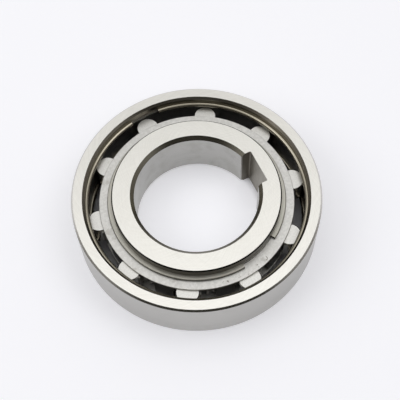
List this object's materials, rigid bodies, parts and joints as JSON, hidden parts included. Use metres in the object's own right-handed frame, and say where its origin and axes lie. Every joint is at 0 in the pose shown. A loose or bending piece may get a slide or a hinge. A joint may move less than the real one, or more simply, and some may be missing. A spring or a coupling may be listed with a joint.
{
  "type": "one-way clutch",
  "caption": "One-way roller clutch in a bearing-size envelope: keyed inner ring with ramped pockets, sprung rollers, side plates, snap rings and an overrunning outer ring.",
  "frame": {"origin": "centre of the envelope: on the bore axis at the middle of the width", "axes": "+Z along the bore axis, +X through the middle of the keyway"},
  "size_m": [0.08, 0.08, 0.018],
  "materials": {
    "outer_ring_steel": "ground bearing steel, dark chamfers",
    "inner_ring_steel": "ground bearing steel, dark chamfers and unground recesses",
    "side_plate_steel": "tumbled, matte",
    "snap_ring_steel": "dark spring steel",
    "roller_steel": "fine ground, fairly glossy",
    "spring_steel": "cold rolled strip"
  },
  "bodies": {
    "inner": {"inner_ring": "inner_ring_steel", "upper_side_plate": "side_plate_steel", "lower_side_plate": "side_plate_steel", "upper_hub_snap_ring": "snap_ring_steel", "lower_hub_snap_ring": "snap_ring_steel", "spring_01": "spring_steel", "spring_02": "spring_steel", "spring_03": "spring_steel", "spring_04": "spring_steel", "spring_05": "spring_steel", "spring_06": "spring_steel", "spring_07": "spring_steel", "spring_08": "spring_steel", "spring_09": "spring_steel", "spring_10": "spring_steel"},
    "outer": {"outer_ring": "outer_ring_steel", "upper_race_snap_ring": "snap_ring_steel", "lower_race_snap_ring": "snap_ring_steel"},
    "roller_01": {"roller_01": "roller_steel"},
    "roller_02": {"roller_02": "roller_steel"},
    "roller_03": {"roller_03": "roller_steel"},
    "roller_04": {"roller_04": "roller_steel"},
    "roller_05": {"roller_05": "roller_steel"},
    "roller_06": {"roller_06": "roller_steel"},
    "roller_07": {"roller_07": "roller_steel"},
    "roller_08": {"roller_08": "roller_steel"},
    "roller_09": {"roller_09": "roller_steel"},
    "roller_10": {"roller_10": "roller_steel"}
  },
  "joints": [
    {"name": "outer_ring_turn", "type": "hinge", "parent": "inner", "child": "outer", "pos_m": [0, 0, 0], "axis": [0, 0, 1], "continuous": true},
    {"name": "roller_01_release", "type": "slide", "parent": "inner", "child": "roller_01", "axis": [0.0948, 0.9955, 0], "range_m": [0, 0.0008], "stiffness_N_per_m": 300, "springref_m": -0.002, "deforming": ["spring_01"]},
    {"name": "roller_02_release", "type": "slide", "parent": "inner", "child": "roller_02", "axis": [-0.5084, 0.8611, 0], "range_m": [0, 0.0008], "stiffness_N_per_m": 300, "springref_m": -0.002, "deforming": ["spring_02"]},
    {"name": "roller_03_release", "type": "slide", "parent": "inner", "child": "roller_03", "axis": [-0.9175, 0.3978, 0], "range_m": [0, 0.0008], "stiffness_N_per_m": 300, "springref_m": -0.002, "deforming": ["spring_03"]},
    {"name": "roller_04_release", "type": "slide", "parent": "inner", "child": "roller_04", "axis": [-0.9761, -0.2175, 0], "range_m": [0, 0.0008], "stiffness_N_per_m": 300, "springref_m": -0.002, "deforming": ["spring_04"]},
    {"name": "roller_05_release", "type": "slide", "parent": "inner", "child": "roller_05", "axis": [-0.6618, -0.7496, 0], "range_m": [0, 0.0008], "stiffness_N_per_m": 300, "springref_m": -0.002, "deforming": ["spring_05"]},
    {"name": "roller_06_release", "type": "slide", "parent": "inner", "child": "roller_06", "axis": [-0.0948, -0.9955, 0], "range_m": [0, 0.0008], "stiffness_N_per_m": 300, "springref_m": -0.002, "deforming": ["spring_06"]},
    {"name": "roller_07_release", "type": "slide", "parent": "inner", "child": "roller_07", "axis": [0.5084, -0.8611, 0], "range_m": [0, 0.0008], "stiffness_N_per_m": 300, "springref_m": -0.002, "deforming": ["spring_07"]},
    {"name": "roller_08_release", "type": "slide", "parent": "inner", "child": "roller_08", "axis": [0.9175, -0.3978, 0], "range_m": [0, 0.0008], "stiffness_N_per_m": 300, "springref_m": -0.002, "deforming": ["spring_08"]},
    {"name": "roller_09_release", "type": "slide", "parent": "inner", "child": "roller_09", "axis": [0.9761, 0.2175, 0], "range_m": [0, 0.0008], "stiffness_N_per_m": 300, "springref_m": -0.002, "deforming": ["spring_09"]},
    {"name": "roller_10_release", "type": "slide", "parent": "inner", "child": "roller_10", "axis": [0.6618, 0.7496, 0], "range_m": [0, 0.0008], "stiffness_N_per_m": 300, "springref_m": -0.002, "deforming": ["spring_10"]}
  ]
}
